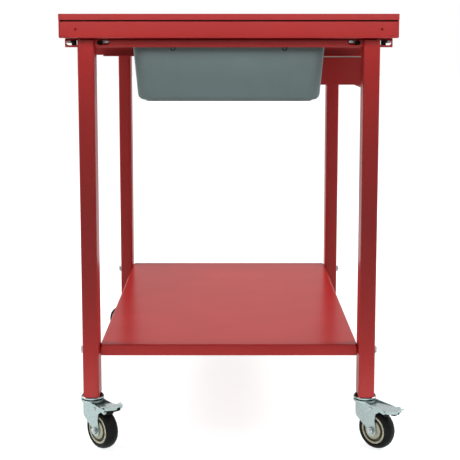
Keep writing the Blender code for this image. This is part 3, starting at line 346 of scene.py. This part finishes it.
def bright_steel():
    """Plain bright steel with fine drawn lines."""
    finish = Finish("bright_steel", metallic=1.0)
    lines = finish.noise(scale=700.0, detail=2.0, stretch=(1.0, 1.0, 0.1))
    finish.tint(finish.noise(scale=240.0, detail=3.0), STEEL_DARK, STEEL_LIGHT)
    finish.roughness(finish.noise(scale=300.0, detail=3.0), low=0.20, high=0.34)
    finish.bump(lines, height=0.00002, strength=0.4)
    return finish.material


def black_rubber():
    """Tyre rubber with a soft bloom."""
    finish = Finish("black_rubber", shine=RUBBER_SHINE)
    finish.tint(finish.noise(scale=70.0, detail=5.0), RUBBER, RUBBER_GREY)
    finish.roughness(finish.noise(scale=120.0, detail=3.0), low=0.36, high=0.52)
    finish.bump(finish.noise(scale=1500.0, detail=3.0), height=0.00004, strength=0.5)
    return finish.material


def black_plastic():
    """Matt black plastic of the inserts, ball rings and eyelets, and of the blocks and strips that stand as
    painted shade beside the rail bolts and under the end lips.
    """
    finish = Finish("black_plastic", shine=RUBBER_SHINE)
    finish.tint(finish.noise(scale=90.0, detail=4.0), BLACK, BLACK_GREY)
    finish.roughness(finish.noise(scale=150.0, detail=3.0), low=0.45, high=0.6)
    finish.bump(finish.noise(scale=1300.0, detail=2.0), height=0.00004, strength=0.5)
    return finish.material


def tan_plastic():
    """Tan wheel cores with a faint flow mottle and painted shade in the grooves."""
    finish = Finish("tan_plastic", shine=PLASTIC_SHINE)
    finish.tint(finish.noise(scale=110.0, detail=4.0), TAN_SHADE, TAN)
    # Painted shade, darker where the ambient occlusion finds a groove
    finish.paint_shade(finish.shade_mask(GROOVE_SHADE_REACH), GROOVE_PAINTED_SHADE, start=0.55, end=0.85)
    finish.roughness(finish.noise(scale=150.0, detail=3.0), low=0.38, high=0.5)
    finish.bump(finish.noise(scale=1400.0, detail=2.0), height=0.00003, strength=0.5)
    return finish.material


MATERIALS = {
    "red_powder_coat": powder_coat(),
    "grey_plastic": tub_plastic(),
    "zinc_plate": zinc_plate(),
    "slide_steel": slide_steel(),
    "bright_steel": bright_steel(),
    "black_rubber": black_rubber(),
    "black_plastic": black_plastic(),
    "tan_plastic": tan_plastic(),
}


# The solids of the frame

def smooth_group():
    """A node group that joins a solid's faces and shades its round stretches smooth."""
    group = bpy.data.node_groups.new("smooth_rounds", "GeometryNodeTree")
    group.interface.new_socket("Geometry", in_out="INPUT", socket_type="NodeSocketGeometry")
    group.interface.new_socket("Geometry", in_out="OUTPUT", socket_type="NodeSocketGeometry")
    start = group.nodes.new("NodeGroupInput")
    end = group.nodes.new("NodeGroupOutput")
    weld = group.nodes.new("GeometryNodeMergeByDistance")
    weld.inputs["Distance"].default_value = WELD
    plain = group.nodes.new("GeometryNodeRemoveAttribute")
    plain.inputs["Name"].default_value = "custom_normal"
    faces = group.nodes.new("GeometryNodeSetShadeSmooth")
    faces.domain = "FACE"
    edges = group.nodes.new("GeometryNodeSetShadeSmooth")
    edges.domain = "EDGE"
    angle = group.nodes.new("GeometryNodeInputMeshEdgeAngle")
    flat_enough = group.nodes.new("FunctionNodeCompare")
    flat_enough.data_type = "FLOAT"
    flat_enough.operation = "LESS_THAN"
    flat_enough.inputs["B"].default_value = SMOOTH_ANGLE
    group.links.new(angle.outputs["Unsigned Angle"], flat_enough.inputs["A"])
    group.links.new(flat_enough.outputs["Result"], edges.inputs["Shade Smooth"])
    chain = [start, plain, weld, faces, edges, end]
    for before, after in zip(chain, chain[1:]):
        group.links.new(before.outputs["Geometry"], after.inputs["Geometry"])
    return group


def edge_width(slot, name):
    """How far the edges of a solid are rounded."""
    if slot in MOULDED_SLOTS:
        return MOULDED_EDGE
    if slot == "red_powder_coat" and name != "drain_spout":
        return SHEET_EDGE
    return SMALL_EDGE


def dress_frame():
    """Gives every solid of the frame its finish, smooth rounds, softly broken edges and true flats."""
    rounds = smooth_group()
    for entry in frame["record"]["subparts"]:
        node = NODES[entry["node"]]
        slot = entry["material_slot"]
        node.data.materials.clear()
        node.data.materials.append(MATERIALS[slot])
        smooth = node.modifiers.new("rounds", "NODES")
        smooth.node_group = rounds
        bevel = node.modifiers.new("edges", "BEVEL")
        bevel.width = edge_width(slot, entry["node"])
        bevel.segments = EDGE_SEGMENTS
        bevel.limit_method = "ANGLE"
        bevel.angle_limit = SMOOTH_ANGLE
        flats = node.modifiers.new("flats", "WEIGHTED_NORMAL")
        flats.keep_sharp = True


dress_frame()


# Fasteners and small fittings

def add_piece(name, bm, slot, body):
    """A visible piece that rides on a body of the frame."""
    mesh = bpy.data.meshes.new(name)
    bm.to_mesh(mesh)
    bm.free()
    mesh.shade_smooth()
    mesh.set_sharp_from_angle(angle=SMOOTH_ANGLE)
    mesh.materials.append(MATERIALS[slot])
    piece = bpy.data.objects.new(name, mesh)
    bpy.context.scene.collection.objects.link(piece)
    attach(piece, body)


def break_edges(bm, edges, width):
    """Rounds edges by a width."""
    bmesh.ops.bevel(
        bm,
        geom=edges,
        offset=width,
        segments=EDGE_SEGMENTS,
        profile=EDGE_PROFILE,
        affect="EDGES",
    )


def prism(bm, sides, radius, low, high, chamfer):
    """Adds a closed prism along +Z whose ends are broken by a chamfer."""
    # Built by itself, so that its corners and faces come in the same order in every run
    part = bmesh.new()
    turn = Matrix.Rotation(math.pi / sides, 4, "Z")
    middle = Matrix.Translation((0, 0, (low + high) / 2)) @ turn
    bmesh.ops.create_cone(
        part,
        cap_ends=True,
        segments=sides,
        radius1=radius,
        radius2=radius,
        depth=high - low,
        matrix=middle,
    )
    rims = [e for e in part.edges if abs(e.verts[0].co.z - e.verts[1].co.z) < LEVEL]
    break_edges(part, rims, chamfer)
    mesh = bpy.data.meshes.new("prism")
    part.to_mesh(mesh)
    part.free()
    bm.from_mesh(mesh)
    bpy.data.meshes.remove(mesh)


def lathe(bm, profile, steps):
    """A turned body from (radius, height) points: a ring, or solid if they start and end on the axis."""
    rings = []
    for radius, height in profile:
        if radius == 0.0:
            rings.append([bm.verts.new((0, 0, height))])
            continue
        ring = []
        for i in range(steps):
            angle = 2 * math.pi * i / steps
            ring.append(bm.verts.new((radius * math.cos(angle), radius * math.sin(angle), height)))
        rings.append(ring)
    if profile[0][0]:
        rings.append(rings[0])
    for lower, upper in zip(rings, rings[1:]):
        for i in range(steps):
            j = (i + 1) % steps
            corners = []
            for ring, step in ((lower, i), (lower, j), (upper, j), (upper, i)):
                vert = ring[step % len(ring)]
                if vert not in corners:
                    corners.append(vert)
            if len(corners) > 2:
                bm.faces.new(corners)


def thread(bm, radius, low, high):
    """A threaded end: a stack of shallow V rings, closed at both ends."""
    profile = [(0.0, low)]
    height = low
    while height < high - THREAD_PITCH:
        profile.append((radius - THREAD_DEPTH, height))
        profile.append((radius, height + THREAD_PITCH / 2))
        height += THREAD_PITCH
    profile.append((radius - THREAD_POINT, high))
    profile.append((0.0, high))
    lathe(bm, profile, THREAD_STEPS)


def washer(bm):
    """A flat washer on the seat, and the height of its top."""
    prism(bm, ROUND_STEPS, WASHER_RADIUS, 0.0, WASHER_THICKNESS, WASHER_CHAMFER)
    return WASHER_THICKNESS


def aim(bm, place, along):
    """Moves a fitting that was built along +Z from the origin to its seat."""
    turn = Vector(along).to_track_quat("Z", "Y").to_matrix().to_4x4()
    bmesh.ops.transform(bm, matrix=Matrix.Translation(place) @ turn, verts=bm.verts)


def bolt_head(name, place, along):
    """A hex bolt head on its washer."""
    bm = bmesh.new()
    base = washer(bm)
    prism(bm, HEX_SIDES, HEAD_RADIUS, base, base + HEAD_HEIGHT, HEAD_CHAMFER)
    aim(bm, place, along)
    add_piece(name, bm, "bright_steel", "frame")


def bolt_nut(name, place, along):
    """A hex nut on its washer with the bolt's threaded end through it."""
    bm = bmesh.new()
    base = washer(bm)
    top = base + NUT_HEIGHT
    prism(bm, HEX_SIDES, HEAD_RADIUS, base, top, HEAD_CHAMFER)
    thread(bm, BOLT / 2, top, top + THREAD_SHOWN)
    aim(bm, place, along)
    add_piece(name, bm, "bright_steel", "frame")


def make_rail_bolts():
    """The bolts that pull each leg rail up to the worktop, heads down behind the rail's slots."""
    outer_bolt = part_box("worktop_tray")[1].x - RETURN_HALF
    for where, end in ENDS:
        low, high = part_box("leg_rail_" + where)
        face = low.y if end < 0 else high.y
        y = face - end * RAIL_BOLT_INSET
        seat = high.z - SHEET
        nut_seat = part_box("top_stiffener_" + where)[0].z + SHEET
        for hand, side in HANDS:
            leg_low, leg_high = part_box("leg_front_" + hand)
            leg_x = (leg_low.x + leg_high.x) / 2
            spots = {"outer": side * outer_bolt, "inner": leg_x - side * RAIL_BOLT_OFFSET}
            for spot, x in spots.items():
                name = f"rail_bolt_{where}_{hand}_{spot}"
                bolt_head(name, (x, y, seat), (0, 0, -1))
                bolt_nut(name + "_nut", (x, y, nut_seat), (0, 0, 1))


def make_shelf_bolts():
    """The bolts that hold the shelf between the legs, heads on the outside of each leg."""
    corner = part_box("lower_shelf")[1]
    z = corner.z - SHELF_BOLT_DROP
    for row, end in (("front", -1), ("rear", 1)):
        for hand, side in HANDS:
            leg = f"{row}_{hand}"
            leg_low, leg_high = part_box("leg_" + leg)
            outside = leg_low.x if side < 0 else leg_high.x
            inside = side * (corner.x - SHEET)
            y = end * (corner.y - SHELF_BOLT_INSET)
            bolt_head("shelf_bolt_" + leg, (outside, y, z), (side, 0, 0))
            bolt_nut(f"shelf_bolt_{leg}_nut", (inside, y, z), (-side, 0, 0))


def painted_shade_block(name, low, high):
    """A block of black plastic with softly broken edges, put in as painted shade."""
    bm = bmesh.new()
    middle = Matrix.Translation((Vector(low) + Vector(high)) / 2)
    size = Matrix.Diagonal((*[b - a for a, b in zip(low, high)], 1))
    bmesh.ops.create_cube(bm, size=1, matrix=middle @ size)
    break_edges(bm, bm.edges, BLOCK_ROUND)
    add_piece(name, bm, "black_plastic", "frame")


def make_slot_shade_blocks():
    """Black blocks between each leg and the bolts beside it, painted shade that shows through the rail's
    slots.
    """
    leg_low, leg_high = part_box("leg_front_right")
    outer_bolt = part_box("worktop_tray")[1].x - RETURN_HALF
    inner_bolt = (leg_low.x + leg_high.x) / 2 - RAIL_BOLT_OFFSET
    head = HEAD_RADIUS + FIT
    spans = {
        "outer": (leg_high.x + SLOT_SHADE_GAP, outer_bolt - head),
        "inner": (inner_bolt + head, leg_low.x - SLOT_SHADE_GAP),
    }
    for where, end in ENDS:
        low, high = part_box("leg_rail_" + where)
        face = low.y if end < 0 else high.y
        across = sorted((face - end * (SHEET + FIT), face - end * (SHEET + SLOT_SHADE_DEPTH)))
        bottom = low.z + SHEET + FIT
        top = high.z - SHEET - FIT
        for hand, side in HANDS:
            for spot, span in spans.items():
                ends = sorted(side * x for x in span)
                corners = ((ends[0], across[0], bottom), (ends[1], across[1], top))
                painted_shade_block(f"rail_packer_{where}_{hand}_{spot}", *corners)


def make_gap_shade_strips():
    """Black strips in the gaps between the worktop's end lips and the aprons, painted shade that darkens
    the gaps.
    """
    for where, end in ENDS:
        low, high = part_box("end_apron_" + where)
        face = low.y if end < 0 else high.y
        across = sorted((face - end * GAP_SHADE_SETBACK, face - end * (GAP_SHADE_SETBACK + GAP_SHADE_DEPTH)))
        bottom = high.z + FIT
        corners = ((low.x, across[0], bottom), (high.x, across[1], bottom + GAP_SHADE_HEIGHT))
        painted_shade_block("lip_gap_shade_" + where, *corners)


def make_eyelets():
    """The two eyelets high on each end wall of the tub."""
    low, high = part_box("drain_tub")
    height = high.z - EYELET_DROP
    lean = TUB_TAPER / (high.z - low.z)
    profile = [
        (EYELET_BORE, 0.0),
        (EYELET_RADIUS, 0.0),
        (EYELET_RADIUS - EYELET_PROUD, EYELET_PROUD),
        (EYELET_BORE + EYELET_PROUD / 2, EYELET_PROUD),
    ]
    for where, end in ENDS:
        wall = low.y + TUB_RIM if end < 0 else high.y - TUB_RIM
        y = wall - end * lean * EYELET_DROP
        for hand, side in HANDS:
            bm = bmesh.new()
            lathe(bm, profile, ROUND_STEPS)
            aim(bm, (side * EYELET_X, y, height), (0, end, -lean))
            add_piece(f"tub_eyelet_{where}_{hand}", bm, "black_plastic", "tub")


make_rail_bolts()
make_shelf_bolts()
# Black blocks and strips as painted shade in the rail's slots and the lips' gaps
make_slot_shade_blocks()
make_gap_shade_strips()
make_eyelets()


# Floor, light and camera

def white_to_eye(tree):
    """How far a surface shows as plain white: full for the camera, mirrors and glass, none for light."""
    path = tree.nodes.new("ShaderNodeLightPath")
    value = path.outputs["Is Camera Ray"]
    for ray in ("Is Glossy Ray", "Is Transmission Ray"):
        either = tree.nodes.new("ShaderNodeMath")
        either.operation = "MAXIMUM"
        tree.links.new(value, either.inputs[0])
        tree.links.new(path.outputs[ray], either.inputs[1])
        value = either.outputs["Value"]
    return value


def make_world():
    """A white surround that lights the object at a plain level."""
    world = bpy.data.worlds.new("studio")
    bpy.context.scene.world = world
    world.use_nodes = True
    tree = world.node_tree
    background = tree.nodes["Background"]
    background.inputs["Color"].default_value = colour(WHITE)
    level = tree.nodes.new("ShaderNodeMapRange")
    level.inputs["To Min"].default_value = AMBIENT
    level.inputs["To Max"].default_value = 1.0
    tree.links.new(white_to_eye(tree), level.inputs["Value"])
    tree.links.new(level.outputs["Result"], background.inputs["Strength"])


def floor_material():
    """A pale, slightly cool floor, which keeps a shadow near the object and fades to white far away."""
    material = bpy.data.materials.new("pale_floor")
    material.use_nodes = True
    tree = material.node_tree
    shader = tree.nodes["Principled BSDF"]
    shader.inputs["Base Color"].default_value = (*FLOOR_TONE, 1.0)
    shader.inputs["Roughness"].default_value = FLOOR_ROUGHNESS
    shader.inputs["Emission Color"].default_value = colour(WHITE)
    place = tree.nodes.new("ShaderNodeTexCoord")
    length = tree.nodes.new("ShaderNodeVectorMath")
    length.operation = "LENGTH"
    tree.links.new(place.outputs["Object"], length.inputs[0])
    level = tree.nodes.new("ShaderNodeMapRange")
    level.interpolation_type = "SMOOTHSTEP"
    level.inputs["From Max"].default_value = GLOW_REACH
    level.inputs["To Min"].default_value = GLOW_NEAR
    level.inputs["To Max"].default_value = GLOW_FAR
    tree.links.new(length.outputs["Value"], level.inputs["Value"])
    glow = tree.nodes.new("ShaderNodeMath")
    glow.operation = "MULTIPLY"
    tree.links.new(white_to_eye(tree), glow.inputs[0])
    tree.links.new(level.outputs["Result"], glow.inputs[1])
    tree.links.new(glow.outputs["Value"], shader.inputs["Emission Strength"])
    return material


def make_floor():
    """A plain round floor just under the object."""
    bm = bmesh.new()
    bmesh.ops.create_circle(bm, cap_ends=True, segments=FLOOR_STEPS, radius=FLOOR_SIZE / 2)
    mesh = bpy.data.meshes.new("floor")
    bm.to_mesh(mesh)
    bm.free()
    mesh.materials.append(floor_material())
    floor = bpy.data.objects.new("floor", mesh)
    bpy.context.scene.collection.objects.link(floor)
    floor.location.z = CAD_BOX[0].z - FLOOR_DROP


def make_lamp(name, place, target, size, power):
    """A soft rectangular lamp."""
    data = bpy.data.lights.new(name, "AREA")
    data.shape = "RECTANGLE"
    data.size, data.size_y = size
    data.energy = power
    lamp = bpy.data.objects.new(name, data)
    lamp.location = place
    lamp.rotation_euler = (Vector(target) - Vector(place)).to_track_quat("-Z", "Y").to_euler()
    lamp.visible_glossy = name not in FILL_LAMPS
    bpy.context.scene.collection.objects.link(lamp)


def make_camera():
    """A camera at the photograph's place, leaned down a little from the level of the worktop."""
    data = bpy.data.cameras.new("camera")
    data.sensor_width = SENSOR
    data.lens = FOCAL / IMAGE * SENSOR
    data.shift_x = (IMAGE / 2 - PRINCIPAL_COLUMN) / IMAGE
    data.shift_y = CAMERA_SHIFT
    camera = bpy.data.objects.new("camera", data)
    camera.location = CAMERA_PLACE
    camera.rotation_euler = (math.pi / 2 - CAMERA_LEAN, 0, 0)
    bpy.context.scene.collection.objects.link(camera)
    bpy.context.scene.camera = camera


make_world()
make_floor()
for lamp_name, setting in LAMPS.items():
    make_lamp(lamp_name, *setting)
make_camera()
bpy.context.scene.view_settings.view_transform = "Standard"
